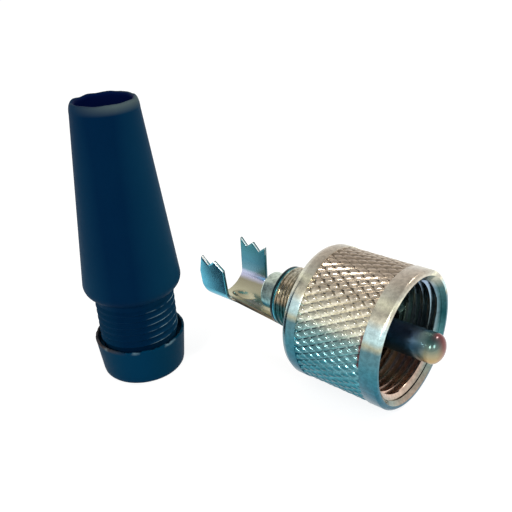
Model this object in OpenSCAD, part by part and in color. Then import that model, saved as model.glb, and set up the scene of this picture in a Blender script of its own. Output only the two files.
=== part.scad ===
// Coaxial plug with a knurled coupling nut, a toothed cable clamp and a screwed boot.
// The plug lies on its nut with the pin towards +X. The boot stands upright in its ring beside the clamp.
// Lengths are in millimetres. The origin is the middle of the footprint, on the surface the parts stand on.

/* [Coupling nut] */
// Length of the nut
nut_length = 14; // [13.6:0.1:15.2]
// Width of the plain band at the mouth
front_band_w = 2.4; // [1.6:0.1:3]
// Width of the plain band at the back
rear_band_w = 2.1; // [1.6:0.1:2.6]
// Width of the bevel at the back edge
rear_bevel_w = 0.7; // [0.4:0.05:1]
// Drop of the bevel at the back edge
rear_bevel_drop = 0.32; // [0.2:0.02:0.6]
// Bevel round the outside of the mouth
mouth_bevel = 0.3; // [0.15:0.05:0.4]
// Chamfer that leads into the thread at the mouth
mouth_chamfer = 1.1; // [0.5:0.1:1.1]
// Diameter of the bore that holds the coupling thread, at the crests
thread_bore_d = 14.86; // [14.4:0.02:15]
// Thickness of the nut's wall, from the thread's crests to the plain bands
nut_wall = 1.77; // [1.5:0.01:2.2]
// Width of the undercut behind the thread
undercut_w = 1.2; // [0.8:0.1:2]
// Depth of the undercut below the thread's crests
undercut_depth = 0.6; // [0.3:0.05:0.7]
// Thickness of the nut's back wall
back_wall = 3; // [2.6:0.1:3.2]

/* [Knurl] */
// Number of diamonds round the nut
knurl_count = 48; // [40:1:56]
// Number of rows of crests along the nut
knurl_rows = 9; // [7:1:11]
// Depth of the knurl's grooves
knurl_depth = 0.42; // [0.3:0.02:0.5]
// Drop from the plain bands to the knurl's crests
knurl_drop = 0.05; // [0.03:0.01:0.1]

/* [Plug body] */
// Gap between the front sleeve and the crests of the nut's thread
sleeve_gap = 1.03; // [0.8:0.01:1.3]
// Thickness of the front sleeve's wall
sleeve_wall = 1.5; // [1.2:0.1:1.8]
// Length of the front sleeve with its shoulder
sleeve_length = 4.1; // [3.7:0.1:4.5]
// Length of a locking tooth on the sleeve's edge
tooth_length = 1.6; // [1:0.1:2]
// Width of a locking tooth at its root
tooth_w = 2.6; // [1.8:0.1:3.2]
// Width of a locking tooth at its blunt tip
tooth_tip_w = 0.52; // [0.3:0.02:1]
// Thickness of the shoulder that holds the nut
shoulder_w = 1.1; // [0.8:0.1:1.5]
// Diameter of the rear thread, which also carries the nut
collar_d = 8.7; // [8.4:0.05:9]
// Distance from the nut's back face to the rear end of the collar
collar_length = 5.4; // [4.8:0.1:6]
// Bevel at the collar's rear edge
collar_bevel = 0.25; // [0.1:0.05:0.4]
// Thickness of the rear ferrule's wall where it meets the clamp
ferrule_wall = 1; // [0.9:0.05:1.3]
// Amount that the ferrule's radius shrinks towards its rear
ferrule_taper = 0.05; // [0:0.05:0.35]
// Length of the rear ferrule behind the clamp
ferrule_length = 3.2; // [2.6:0.1:3.8]
// Bevel at the ferrule's rear edge
ferrule_bevel = 0.3; // [0.2:0.05:0.5]
// Diameter of the cable bore through the rear
cable_bore_d = 3.5; // [3.1:0.05:3.7]

/* [Insulator] */
// Distance from the sleeve's front edge to the insulator's face
insulator_recess = 0.8; // [0.4:0.1:1.4]
// Thickness of the rear spigot's wall round the pin's barrel
spigot_wall = 0.6; // [0.4:0.05:0.9]
// Length of the insulator's rear spigot
spigot_length = 3; // [2.4:0.1:3.4]

/* [Centre pin] */
// Diameter of the pin
pin_d = 3.96; // [3.9:0.01:4]
// Length of the pin in front of the insulator
pin_length = 11.34; // [10.4:0.02:12.4]
// Length of the rounded tip
pin_dome = 1.3; // [1:0.1:1.7]
// Step from the pin's radius to its barrel's radius inside the insulator
barrel_step = 0.32; // [0.2:0.02:0.5]
// Diameter of the hole that takes the conductor
solder_bore_d = 1.8; // [1.4:0.1:2.2]
// Depth of the hole that takes the conductor
solder_bore_depth = 6; // [4:0.5:9]

/* [Cable clamp] */
// Thickness of the clamp's sheet
sheet_t = 0.45; // [0.35:0.05:0.55]
// Step from the rear thread's crests down to the eyelet's edge
eyelet_inset = 0.05; // [0:0.01:0.3]
// Rim of the eyelet below the strip
eyelet_rim = 0.2; // [0.15:0.05:0.3]
// Length of the strip from the collar's rear face to the ears
strip_length = 7.7; // [6.5:0.1:9]
// Width of an ear along the cable
ear_w = 4.8; // [4.2:0.1:5.6]
// Length of an ear above its bend
ear_h = 5.3; // [5:0.1:7]
// Height of the strip's inside face at the ears, below the plug's axis
strip_drop = 2.9; // [2.7:0.05:3.3]
// Inside radius of the trough that the strip forms
trough_r = 4.3; // [4.1:0.1:5]
// Half width of the trough where the ears turn up
trough_half_w = 3.2; // [3:0.1:3.4]
// Mean radius of the bend where an ear turns up
ear_bend_r = 1.5; // [1:0.1:1.8]
// Outward lean of the near ear from upright
near_lean = 6; // [0:1:15]
// Outward lean of the far ear from upright
far_lean = 1; // [0:1:12]
// Depth of the notches between an ear's teeth
notch_depth = 1.1; // [0.8:0.1:1.6]
// Place of a notch's bottom, as a share of the tooth's width
notch_place = 0.5; // [0.3:0.02:0.7]
// Fall from one tooth's tip to the next, towards the plug
tip_fall = 0.25; // [0:0.05:0.4]
// Amount that the near ear stands further back than the far ear
near_back = 1.4; // [0:0.1:1.8]
// Amount that its teeth stand further back than the far ear's
near_teeth_back = 0.6; // [0:0.1:1]
// Radius of the corner between the near ear's front edge and the strip
corner_r = 1.2; // [0.6:0.1:1.5]
// Length of the pressed dimple in the strip
dimple_length = 4; // [3:0.1:4.4]
// Depth of the pressed dimple in the strip
dimple_depth = 0.55; // [0.3:0.05:0.6]

/* [Boot] */
// Height of the boot's top above the surface
boot_h = 38.87; // [37:0.1:41]
// Amount that the boot stands out over its neck, at the widest place
boot_overhang = 1.24; // [1:0.02:1.6]
// Height of the rounded shoulder, from the boot's lower edge to the widest place
shoulder_rise = 1.58; // [1.2:0.02:2.2]
// Amount that the boot's lower edge is drawn in under the neck's ridges
shoulder_tuck = 0.15; // [0.05:0.05:0.3]
// Thickness of the boot's wall at the top, before the lip
boot_top_wall = 0.875; // [0.7:0.005:1.1]
// Height of the rounded lip
lip_h = 1.5; // [0.8:0.1:2]
// Widening of the cable hole at the lip, on the radius
mouth_flare = 0.43; // [0.3:0.01:0.5]
// Depth of that widening
mouth_flare_h = 0.5; // [0.3:0.1:1]
// Diameter of the cable hole at the top
boot_bore_d = 7; // [6.6:0.1:7.3]
// Length of the cable hole
boot_bore_length = 11; // [8:0.5:14]
// Clearance of the boot's inside round the rear thread
boot_play = 0.1; // [0.05:0.05:0.25]
// Length of the cone between the inside and the cable hole
boot_cone_length = 5; // [3:0.5:7]

/* [Neck and ring] */
// Thickness of the neck's wall under its ridges
neck_wall = 0.7; // [0.55:0.05:0.9]
// Depth of the grooves between the ridges
ridge_depth = 0.35; // [0.2:0.05:0.45]
// Distance from ridge to ridge, and the pitch of the boot's screw
neck_pitch = 1; // [0.8:0.05:1.1]
// Number of ridges on the neck
ridge_count = 7; // [5:1:7]
// Plain length of the neck below its ridges
neck_plain = 0.86; // [0.5:0.02:1.4]
// Thickness of the ring's wall at its foot
ring_foot_wall = 0.59; // [0.5:0.01:0.8]
// Thickness of the ring's wall at its rim
ring_rim_wall = 0.39; // [0.3:0.01:0.6]
// Height of the ring
ring_h = 5.62; // [5.4:0.02:6]
// Thickness of the ring's floor
ring_floor = 1.1; // [0.8:0.1:1.3]
// Depth of the wide mouth of the ring
ring_mouth_depth = 1.3; // [1:0.1:1.5]
// Gap between the neck's ridges and the wide mouth of the ring
ring_mouth_gap = 0.45; // [0.35:0.01:0.6]
// Amount that the wide mouth's radius shrinks towards its bottom
ring_mouth_taper = 0.15; // [0.05:0.05:0.25]
// Bevel round the ring's foot
foot_bevel = 0.35; // [0.2:0.05:0.5]

/* [Fits and places] */
// Radial clearance of the nut on the collar, and of the boot's spigot in its ring
running_fit = 0.08; // [0.05:0.01:0.1]
// Clearance between pieces that are pressed or staked together
seat_fit = 0.02; // [0.01:0.01:0.04]
// Free play between parts that meet end to end
end_play = 0.3; // [0.2:0.05:0.4]
// Distance from the ears' rear edge back to the boot's axis
boot_behind_ears = 3.8; // [2:0.1:8]
// Distance from the plug's axis aside to the boot's axis
boot_aside = 14.8; // [14:0.1:20]

/* [Hidden] */
round_fn = 96;
// Length by which a cut runs past the face that it opens
overrun = 1;

// Radii, each from the piece that it fits in or round
thread_r = thread_bore_d / 2;
nut_r = thread_r + nut_wall;
undercut_r = thread_r + undercut_depth;
sleeve_r = thread_r - sleeve_gap;
sleeve_bore_r = sleeve_r - sleeve_wall;
pin_r = pin_d / 2;
barrel_r = pin_r + barrel_step;
spigot_r = barrel_r + spigot_wall;
solder_bore_r = solder_bore_d / 2;
collar_r = collar_d / 2;
nut_bore_r = collar_r + running_fit;
cable_bore_r = cable_bore_d / 2;
ferrule_r = cable_bore_r + ferrule_wall;
ferrule_end_r = ferrule_r - ferrule_taper;
eyelet_r = collar_r - eyelet_inset;
boot_inside_r = collar_r + boot_play;
boot_bore_r = boot_bore_d / 2;
neck_root_r = boot_inside_r + neck_wall;
neck_r = neck_root_r + ridge_depth;
boot_r = neck_r + boot_overhang;
ring_bore_r = neck_root_r + running_fit;
ring_mouth_r = neck_r + ring_mouth_gap;

// Places along the plug, as distances behind the nut's mouth
knurl_front = front_band_w;
knurl_back = nut_length - rear_band_w;
wall_front = nut_length - back_wall;
shoulder_back = wall_front - end_play;
sleeve_front = shoulder_back - sleeve_length;
pocket_floor = shoulder_back - shoulder_w;
insulator_front = sleeve_front + insulator_recess;
insulator_back = pocket_floor + spigot_length;
collar_back = nut_length + collar_length;
eyelet_back = collar_back + sheet_t;
ferrule_back = eyelet_back + ferrule_length;
ear_front = collar_back + strip_length;
ear_back = ear_front + ear_w;
pin_reach = pin_length - insulator_front;
dome_start = pin_reach - pin_dome;

// Knurl: rows of points with a crest and a groove bottom in turn, sunk into both bands
knurl_cols = 2 * knurl_count;
knurl_sink = 0.25;
knurl_crest_r = nut_r - knurl_drop;
knurl_root_r = knurl_crest_r - knurl_depth;
// The turned core stays this far below the bottoms of the grooves
core_drop = 0.4;
knurl_core_r = knurl_root_r - core_drop;
knurl_step = (knurl_back - knurl_front + 2 * knurl_sink) / knurl_rows;

// Clamp: the strip rises from the eyelet's foot to the ears
arc_steps = 8;
bend_steps = 6;
trough_mean_r = trough_r + sheet_t / 2;
trough_angle = asin(trough_half_w / trough_mean_r);
strip_front_drop = eyelet_r - sheet_t - eyelet_rim;
strip_slope = atan((strip_front_drop - strip_drop) / strip_length);
tooth_pitch = ear_w / 2;
ear_foot_z = trough_mean_r * (1 - cos(trough_angle));
// Height of the inside edge of the trough, where a cut ear ends and the strip goes on
ear_cut_z = ear_foot_z + sheet_t / 2 * cos(trough_angle);
// The near ear's rear edge starts at this share of the foot's height and turns in at this share of the ear's
rear_low = 0.6;
rear_high = 0.72;
// The dimple's front end lies this far in front of the ears
dimple_ahead = 0.2;
dimple_middle = ear_front + dimple_length / 2 - dimple_ahead;
// The strip's sheet lies this far inside the sheet between the ears, and runs this far into it
seam = 0.02;
seam_overlap = 0.5;
// The strip's front end lies within the eyelet's thickness
strip_start = 0.7 * sheet_t;

// The teeth's roots lie this far inside the sleeve
tooth_sink = 0.5;

// Boot and ring, as heights above the surface
ring_step_z = ring_h - ring_mouth_depth;
neck_step_z = ring_step_z + end_play;
neck_low_z = ring_floor + end_play;
ridge_low_z = neck_step_z + neck_plain;
boot_low_z = ridge_low_z + ridge_count * neck_pitch;
boot_widest_z = boot_low_z + shoulder_rise;
boot_cone_top = boot_h - boot_bore_length;
// Shares of the pitch at which a ridge leaves its groove, tops out, turns down and is back in the groove
ridge_shares = [0.1, 0.45, 0.65, 0.95];

// The footprint's middle is the origin
boot_behind = ear_back + boot_behind_ears;
near_x = -boot_behind - boot_r;
mouth_x = -(pin_reach + near_x) / 2;
axis_y = -(nut_r - boot_aside - boot_r) / 2;
boot_x = mouth_x - boot_behind;
boot_y = axis_y - boot_aside;

// Puts a shape made about Z onto the plug's axis: Z becomes +X, and 0 is the nut's mouth
module on_axis() {
    translate([mouth_x, axis_y, nut_r]) rotate([0, 90, 0]) children();
}

// Turns an outline of [radius, distance behind the mouth] points
module turned_behind(outline) {
    rotate_extrude($fn = round_fn) polygon([for (p = outline) [p[0], -p[1]]]);
}

// Points of a quarter of an ellipse from angle a0 to a1 about the point c
function quarter(c, rx, ry, a0, a1, steps = 8) =
    [for (k = [0 : steps]) let (a = a0 + (a1 - a0) * k / steps) [c[0] + rx * cos(a), c[1] + ry * sin(a)]];

function reversed(list) = [for (k = [len(list) - 1 : -1 : 0]) list[k]];

// Knurl: crests and groove bottoms change places from row to row, so the grooves cross as two screw lines
function knurl_point(i, j) =
    let (r = (i + j) % 2 == 0 ? knurl_root_r : knurl_crest_r, a = 360 * j / knurl_cols)
    [r * cos(a), r * sin(a), -knurl_front + knurl_sink - i * knurl_step];

// The two triangles of one patch, parted along the groove that joins its two low corners
function knurl_patch(i, j) =
    let (next = (j + 1) % knurl_cols,
         a = i * knurl_cols + j, b = i * knurl_cols + next,
         c = (i + 1) * knurl_cols + next, d = (i + 1) * knurl_cols + j)
    (i + j) % 2 == 0 ? [[a, b, c], [a, c, d]] : [[a, b, d], [b, c, d]];

module knurl() {
    points = [for (i = [0 : knurl_rows]) for (j = [0 : knurl_cols - 1]) knurl_point(i, j)];
    sides = [for (i = [0 : knurl_rows - 1]) for (j = [0 : knurl_cols - 1]) each knurl_patch(i, j)];
    front = [for (j = [knurl_cols - 1 : -1 : 0]) j];
    back = [for (j = [0 : knurl_cols - 1]) knurl_rows * knurl_cols + j];
    polyhedron(points, concat(sides, [front, back]));
}

module nut_bands() {
    turned_behind([
        [0, 0], [nut_r - mouth_bevel, 0], [nut_r, mouth_bevel],
        [nut_r, knurl_front], [knurl_core_r, knurl_front],
        [knurl_core_r, knurl_back], [nut_r, knurl_back],
        [nut_r, nut_length - rear_bevel_w], [nut_r - rear_bevel_drop, nut_length], [0, nut_length]]);
}

module nut_bore() {
    turned_behind([
        [0, -overrun], [thread_r + mouth_chamfer + overrun, -overrun],
        [thread_r, mouth_chamfer],
        [thread_r, wall_front - undercut_w - undercut_depth], [undercut_r, wall_front - undercut_w],
        [undercut_r, wall_front], [nut_bore_r, wall_front],
        [nut_bore_r, nut_length + overrun], [0, nut_length + overrun]]);
}

module coupling_nut() {
    color([0.72, 0.68, 0.62]) on_axis() difference() {
        union() {
            nut_bands();
            knurl();
        }
        nut_bore();
    }
}

// Two pointed teeth stand on the sleeve's edge, one on each side
module locking_teeth() {
    root = sleeve_front + tooth_sink;
    tip = sleeve_front - tooth_length;
    intersection() {
        turned_behind([
            [sleeve_bore_r, tip], [sleeve_r, tip], [sleeve_r, root], [sleeve_bore_r, root]]);
        translate([0, sleeve_r + overrun, 0]) rotate([90, 0, 0]) linear_extrude(2 * (sleeve_r + overrun))
            polygon([
                [-tooth_w / 2, -root - overrun], [tooth_w / 2, -root - overrun],
                [tooth_w / 2, -sleeve_front], [tooth_tip_w / 2, -tip],
                [-tooth_tip_w / 2, -tip], [-tooth_w / 2, -sleeve_front]]);
    }
}

module plug_body() {
    color([0.66, 0.6, 0.5]) on_axis() union() {
        turned_behind([
            [sleeve_bore_r, sleeve_front], [sleeve_r, sleeve_front], [sleeve_r, shoulder_back],
            [collar_r, shoulder_back], [collar_r, collar_back - collar_bevel],
            [collar_r - collar_bevel, collar_back], [ferrule_r, collar_back], [ferrule_r, eyelet_back],
            [ferrule_end_r, ferrule_back - ferrule_bevel], [ferrule_end_r - ferrule_bevel, ferrule_back],
            [cable_bore_r, ferrule_back], [cable_bore_r, insulator_back],
            [spigot_r + seat_fit, insulator_back], [spigot_r + seat_fit, pocket_floor],
            [sleeve_bore_r, pocket_floor]]);
        locking_teeth();
    }
}

module insulator() {
    hole_r = barrel_r + seat_fit;
    color([0.16, 0.16, 0.2]) on_axis() turned_behind([
        [hole_r, insulator_front], [sleeve_bore_r - seat_fit, insulator_front],
        [sleeve_bore_r - seat_fit, pocket_floor - seat_fit], [spigot_r, pocket_floor - seat_fit],
        [spigot_r, insulator_back - seat_fit], [hole_r, insulator_back - seat_fit]]);
}

module centre_pin() {
    dome = quarter([0, -dome_start], pin_r, -pin_dome, 0, 90);
    color([0.78, 0.74, 0.68]) on_axis() difference() {
        turned_behind(concat(
            [[0, insulator_back - seat_fit], [barrel_r, insulator_back - seat_fit],
             [barrel_r, insulator_front], [pin_r, insulator_front]],
            dome));
        turned_behind([
            [0, insulator_back + overrun], [solder_bore_r, insulator_back + overrun],
            [solder_bore_r, insulator_back - solder_bore_depth], [0, insulator_back - solder_bore_depth]]);
    }
}

// Middle line of half the clamp's section, as [out, up, heading] from the trough's bottom to an ear's top
function ear_line(lean) =
    let (arc = [for (k = [0 : arc_steps]) let (a = trough_angle * k / arc_steps)
                [trough_mean_r * sin(a), trough_mean_r * (1 - cos(a)), a]],
         foot = arc[arc_steps],
         turn = 90 - lean - trough_angle,
         bend = [for (k = [1 : bend_steps]) let (a = trough_angle + turn * k / bend_steps)
                 [foot[0] + ear_bend_r * (sin(a) - sin(trough_angle)),
                  foot[1] + ear_bend_r * (cos(trough_angle) - cos(a)), a]],
         top = bend[bend_steps - 1],
         rise = ear_h + sheet_t)
    concat(arc, bend, [[top[0] + rise * cos(top[2]), top[1] + rise * sin(top[2]), top[2]]]);

// Height of an ear's tips, inside the sheet's own end, so that the outline alone shapes them
function ear_top(lean) = let (line = ear_line(lean)) line[len(line) - 1][1] - sheet_t;

// One side of the sheet: the middle line moved along its normal
function sheet_side(line, shift) = [for (p = line) [p[0] - shift * sin(p[2]), p[1] + shift * cos(p[2])]];

function mirrored(list) = [for (p = list) [-p[0], p[1]]];

// Bent section with both ears: x is across the plug and y is up, from the middle of the trough's sheet
module ear_section() {
    far = ear_line(far_lean);
    near = ear_line(near_lean);
    half = sheet_t / 2;
    polygon(concat(
        sheet_side(far, -half), reversed(sheet_side(far, half)),
        mirrored(sheet_side(near, half)), reversed(mirrored(sheet_side(near, -half)))));
}

// Trough section of the strip, a hair inside the sheet between the ears that it runs into
function trough_outline() =
    let (reach = trough_angle - atan(seam / trough_mean_r),
         half = sheet_t / 2 - seam,
         line = [for (k = [-arc_steps : arc_steps]) let (a = reach * k / arc_steps)
                 [trough_mean_r * sin(a), trough_mean_r * (1 - cos(a)), a]])
    concat(sheet_side(line, -half), reversed(sheet_side(line, half)));

// Outlines of the ears seen from the side: x is along the cable from the far ear's rear edge, y is up
function tooth_tip(k, top) = [k * tooth_pitch, top - k * tip_fall];

function notch_bottom(k, top) =
    [(k + notch_place) * tooth_pitch, top - (k + notch_place) * tip_fall - notch_depth];

module far_outline(top) {
    end = ear_w + seam_overlap;
    flank = (notch_depth + (notch_place - 1) * tip_fall) / (tooth_pitch * (1 - notch_place));
    tip = tooth_tip(2, top);
    polygon([
        [0, -sheet_t], tooth_tip(0, top), notch_bottom(0, top), tooth_tip(1, top), notch_bottom(1, top),
        tip, tip + [seam_overlap, flank * seam_overlap], [end, -sheet_t]]);
}

// The near ear stands further back, and its last notch runs out at its front edge
module near_outline(top) {
    end = ear_w + seam_overlap;
    front = ear_w - near_back;
    set_back = [-near_teeth_back, 0];
    corner = [for (k = [0 : arc_steps]) let (a = 180 + 90 * k / arc_steps)
        [front + corner_r * (1 + cos(a)), ear_cut_z + corner_r * (1 + sin(a))]];
    polygon(concat([
        [0, -sheet_t], [0, ear_foot_z * rear_low], [-near_back, ear_cut_z + near_back],
        [-near_back, ear_cut_z + ear_h * rear_high], tooth_tip(0, top) + set_back,
        notch_bottom(0, top) + set_back, tooth_tip(1, top) + set_back,
        [front, top - (1 + notch_place) * tip_fall - notch_depth]],
        corner, [[end, ear_cut_z], [end, -sheet_t]]));
}

// Keeps what lies on one side of the plug's axis and inside an ear's outline
module ear_side(side) {
    reach = trough_half_w + ear_h;
    translate([-ear_back, side > 0 ? reach : 0, 0]) rotate([90, 0, 0]) linear_extrude(reach) children();
}

// Turns a section drawn in [across, up] so that it runs along the cable
module along_cable(from, length) {
    translate([-from - length, 0, 0]) rotate([90, 0, 90]) linear_extrude(length) children();
}

// A spindle lying along the cable: the shape that presses the dimple
module spindle(length, radius) {
    arc_r = (length * length / 4 + radius * radius) / (2 * radius);
    half = asin(length / 2 / arc_r);
    rotate([0, 90, 0]) rotate_extrude($fn = round_fn / 2)
        polygon([for (k = [-arc_steps : arc_steps]) let (a = half * k / arc_steps)
            [arc_r * cos(a) - (arc_r - radius), arc_r * sin(a)]]);
}

module cable_clamp() {
    // The middle of the trough's sheet at the ears and at the eyelet
    base_z = nut_r - strip_drop - sheet_t / 2;
    front_z = nut_r - strip_front_drop - sheet_t / 2;
    dimple_at = [-dimple_middle, 0, nut_r - strip_drop];
    blank_w = 2 * (dimple_length + sheet_t);
    color([0.42, 0.6, 0.68]) translate([mouth_x, axis_y, 0]) difference() {
        union() {
            // Eyelet round the ferrule, against the collar's rear face
            translate([-eyelet_back + seat_fit, 0, nut_r]) rotate([0, 90, 0])
                cylinder(r = eyelet_r, h = sheet_t - 2 * seat_fit, $fn = round_fn);
            // Strip that rises from the eyelet to the ears
            translate([-collar_back, 0, front_z]) rotate([0, strip_slope, 0])
                along_cable(strip_start, strip_length / cos(strip_slope) + seam_overlap - strip_start)
                    polygon(trough_outline());
            // Ears and the part of the trough between them
            translate([0, 0, base_z]) intersection() {
                along_cable(ear_front, ear_w + near_back + seam_overlap) ear_section();
                union() {
                    ear_side(1) far_outline(ear_top(far_lean));
                    ear_side(-1) near_outline(ear_top(near_lean));
                }
            }
            // Underside of the dimple, from the middle of the sheet down
            intersection() {
                translate(dimple_at) spindle(dimple_length + sheet_t, dimple_depth + sheet_t);
                translate(dimple_at + [-blank_w / 2, -blank_w / 2, -blank_w - sheet_t / 2]) cube(blank_w);
            }
        }
        translate(dimple_at) spindle(dimple_length, dimple_depth);
        // Hole for the ferrule
        translate([-eyelet_back - seam, 0, nut_r]) rotate([0, 90, 0])
            cylinder(r = ferrule_r + seat_fit, h = sheet_t + 2 * seam, $fn = round_fn);
    }
}

// Outline points of the ridges on the boot's neck, from the bottom up
function ridge_outline() =
    let (radii = [neck_root_r, neck_r, neck_r, neck_root_r])
    [for (k = [0 : ridge_count - 1]) for (j = [0 : 3])
        [radii[j], ridge_low_z + (k + ridge_shares[j]) * neck_pitch]];

module boot() {
    lip_start = boot_h - lip_h;
    shoulder_run = boot_overhang + shoulder_tuck;
    mouth_r = boot_bore_r + mouth_flare;
    outer = concat(
        [[neck_root_r, neck_low_z], [neck_root_r, neck_step_z], [neck_r, neck_step_z]],
        ridge_outline(),
        quarter([boot_r - shoulder_run, boot_widest_z], shoulder_run, shoulder_rise, -90, 0),
        quarter([mouth_r, lip_start], boot_top_wall - mouth_flare, lip_h, 0, 90));
    inner = [
        [boot_bore_r, boot_h - mouth_flare_h], [boot_bore_r, boot_cone_top],
        [boot_inside_r, boot_cone_top - boot_cone_length], [boot_inside_r, neck_low_z]];
    color([0.05, 0.14, 0.22]) translate([boot_x, boot_y, 0])
        rotate_extrude($fn = round_fn) polygon(concat(outer, inner));
}

module boot_ring() {
    foot_r = ring_bore_r + ring_foot_wall;
    color([0.05, 0.2, 0.3]) translate([boot_x, boot_y, 0]) rotate_extrude($fn = round_fn) polygon([
        [boot_inside_r, 0], [foot_r - foot_bevel, 0], [foot_r, foot_bevel],
        [ring_mouth_r + ring_rim_wall, ring_h], [ring_mouth_r, ring_h],
        [ring_mouth_r - ring_mouth_taper, ring_step_z],
        [ring_bore_r, ring_step_z], [ring_bore_r, ring_floor], [boot_inside_r, ring_floor]]);
}

coupling_nut();
plug_body();
insulator();
centre_pin();
cable_clamp();
boot();
boot_ring();
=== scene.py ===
import math

import bmesh
import bpy
from mathutils import Matrix, Vector, noise


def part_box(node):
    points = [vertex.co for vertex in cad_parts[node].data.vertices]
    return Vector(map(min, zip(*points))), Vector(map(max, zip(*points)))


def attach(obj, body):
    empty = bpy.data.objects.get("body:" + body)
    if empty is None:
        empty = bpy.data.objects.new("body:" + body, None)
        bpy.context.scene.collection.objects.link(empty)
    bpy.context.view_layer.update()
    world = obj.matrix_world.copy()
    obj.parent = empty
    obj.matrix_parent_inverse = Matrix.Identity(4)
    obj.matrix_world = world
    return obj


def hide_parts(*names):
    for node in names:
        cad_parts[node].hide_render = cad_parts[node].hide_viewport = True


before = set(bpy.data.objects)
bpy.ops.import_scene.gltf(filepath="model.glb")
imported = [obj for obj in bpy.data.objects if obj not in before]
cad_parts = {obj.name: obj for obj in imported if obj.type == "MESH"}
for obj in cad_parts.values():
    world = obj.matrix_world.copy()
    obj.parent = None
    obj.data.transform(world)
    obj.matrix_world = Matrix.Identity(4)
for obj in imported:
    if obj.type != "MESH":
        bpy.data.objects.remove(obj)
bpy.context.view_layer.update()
print("frame loaded")

# Places in millimetres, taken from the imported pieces
millimetre = 0.001


def boxOf(node):
    low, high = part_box(node)
    return low / millimetre, high / millimetre


nutLow, nutHigh = boxOf("coupling_nut")
bodyLow, bodyHigh = boxOf("plug_body")
pinLow, pinHigh = boxOf("centre_pin")
clampLow, clampHigh = boxOf("cable_clamp")
bootLow, bootHigh = boxOf("boot")
ringLow, ringHigh = boxOf("boot_ring")
mouthX = nutHigh.x
nutLength = nutHigh.x - nutLow.x
nutRadius = (nutHigh.z - nutLow.z) / 2
axisY = (nutLow.y + nutHigh.y) / 2
axisZ = (nutLow.z + nutHigh.z) / 2
bootX = (bootLow.x + bootHigh.x) / 2
bootY = (bootLow.y + bootHigh.y) / 2
plugAxis = Vector((1, 0, 0))
plugPoint = Vector((0, axisY, axisZ))
bootAxis = Vector((0, 0, 1))
bootPoint = Vector((bootX, bootY, 0))


# Mesh helpers

def outlineLoop(bm, points):
    verts = [bm.verts.new(p) for p in points]
    edges = [bm.edges.new((a, b)) for a, b in zip(verts, verts[1:] + verts[:1])]
    return verts, edges


def spunAboutPlug(outline, steps):
    # outline: (distance behind the mouth, radius)
    bm = bmesh.new()
    verts, edges = outlineLoop(bm, [(mouthX - back, axisY, axisZ + radius) for back, radius in outline])
    bmesh.ops.spin(bm, geom=verts + edges, cent=plugPoint, axis=plugAxis,
                   angle=math.tau, steps=steps, use_merge=True)
    bmesh.ops.remove_doubles(bm, verts=bm.verts, dist=0.0005)
    return bm


def spunAboutBoot(outline, steps):
    # outline: (radius, height)
    bm = bmesh.new()
    verts, edges = outlineLoop(bm, [(bootX + radius, bootY, height) for radius, height in outline])
    bmesh.ops.spin(bm, geom=verts + edges, cent=bootPoint, axis=bootAxis,
                   angle=math.tau, steps=steps, use_merge=True)
    bmesh.ops.remove_doubles(bm, verts=bm.verts, dist=0.0005)
    return bm


def addScrewRidge(bm, section, point, axis, pitch, turns, stepsPerTurn, sinkBy, fadeTurns):
    # A ridge that follows a screw line; its two ends sink away from its crest. It has a mesh of its own
    # at first, where the points keep the order in which they were made
    ridge = bmesh.new()
    verts, edges = outlineLoop(ridge, section)
    steps = int(turns * stepsPerTurn)
    bmesh.ops.spin(ridge, geom=verts + edges, cent=point, axis=axis, dvec=axis * (pitch / stepsPerTurn),
                   angle=math.tau * steps / stepsPerTurn, steps=steps, use_merge=False)
    fade = fadeTurns * stepsPerTurn
    for index, vert in enumerate(ridge.verts):
        step = index // len(section)
        share = min(step, steps - step) / fade
        if share < 1:
            out = (vert.co - point) - axis * (vert.co - point).dot(axis)
            vert.co += out.normalized() * sinkBy * (1 - share)
    bmesh.ops.holes_fill(ridge, edges=[e for e in ridge.edges if e.is_boundary], sides=0)
    mesh = bpy.data.meshes.new("ridge")
    ridge.to_mesh(mesh)
    ridge.free()
    bm.from_mesh(mesh)
    bpy.data.meshes.remove(mesh)


def roundEdges(bm, chosen, width, segments=2):
    bmesh.ops.bevel(bm, geom=chosen, offset=width, offset_type="OFFSET", segments=segments,
                    profile=0.5, affect="EDGES", clamp_overlap=True, material=-1)


def axisRadius(co):
    return math.hypot(co.y - axisY, co.z - axisZ)


def finished(bm, name, node, body, materials, sharpDegrees=32):
    bmesh.ops.recalc_face_normals(bm, faces=bm.faces)
    limit = math.radians(sharpDegrees)
    for face in bm.faces:
        face.smooth = True
    for edge in bm.edges:
        edge.smooth = edge.calc_face_angle(0) < limit
    bmesh.ops.scale(bm, vec=(millimetre,) * 3, verts=bm.verts)
    mesh = bpy.data.meshes.new(name)
    bm.to_mesh(mesh)
    bm.free()
    for material in materials:
        mesh.materials.append(material)
    piece = bpy.data.objects.new(name, mesh)
    bpy.context.scene.collection.objects.link(piece)
    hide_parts(node)
    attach(piece, body)
    print("made", name, len(mesh.polygons), "faces")
    return piece


# Material helpers

def newMaterial(name):
    material = bpy.data.materials.new(name)
    material.use_nodes = True
    material.node_tree.nodes.clear()
    return material, material.node_tree


def addNode(tree, kind, values=None, **settings):
    made = tree.nodes.new(kind)
    for key, value in settings.items():
        setattr(made, key, value)
    for key, value in (values or {}).items():
        socket = made.inputs[key]
        if hasattr(value, "is_output"):
            tree.links.new(value, socket)
        else:
            socket.default_value = value
    return made


def ramp(tree, factor, stops, interpolation="LINEAR"):
    made = addNode(tree, "ShaderNodeValToRGB", {"Fac": factor})
    elements = made.color_ramp.elements
    made.color_ramp.interpolation = interpolation
    while len(elements) < len(stops):
        elements.new(0.5)
    for element, (place, colour) in zip(elements, stops):
        element.position = place
        element.color = (*colour, 1)
    return made.outputs["Color"]


def maths(tree, operation, a, b=0.0, c=0.0, **settings):
    return addNode(tree, "ShaderNodeMath", {0: a, 1: b, 2: c}, operation=operation, **settings).outputs[0]


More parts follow.
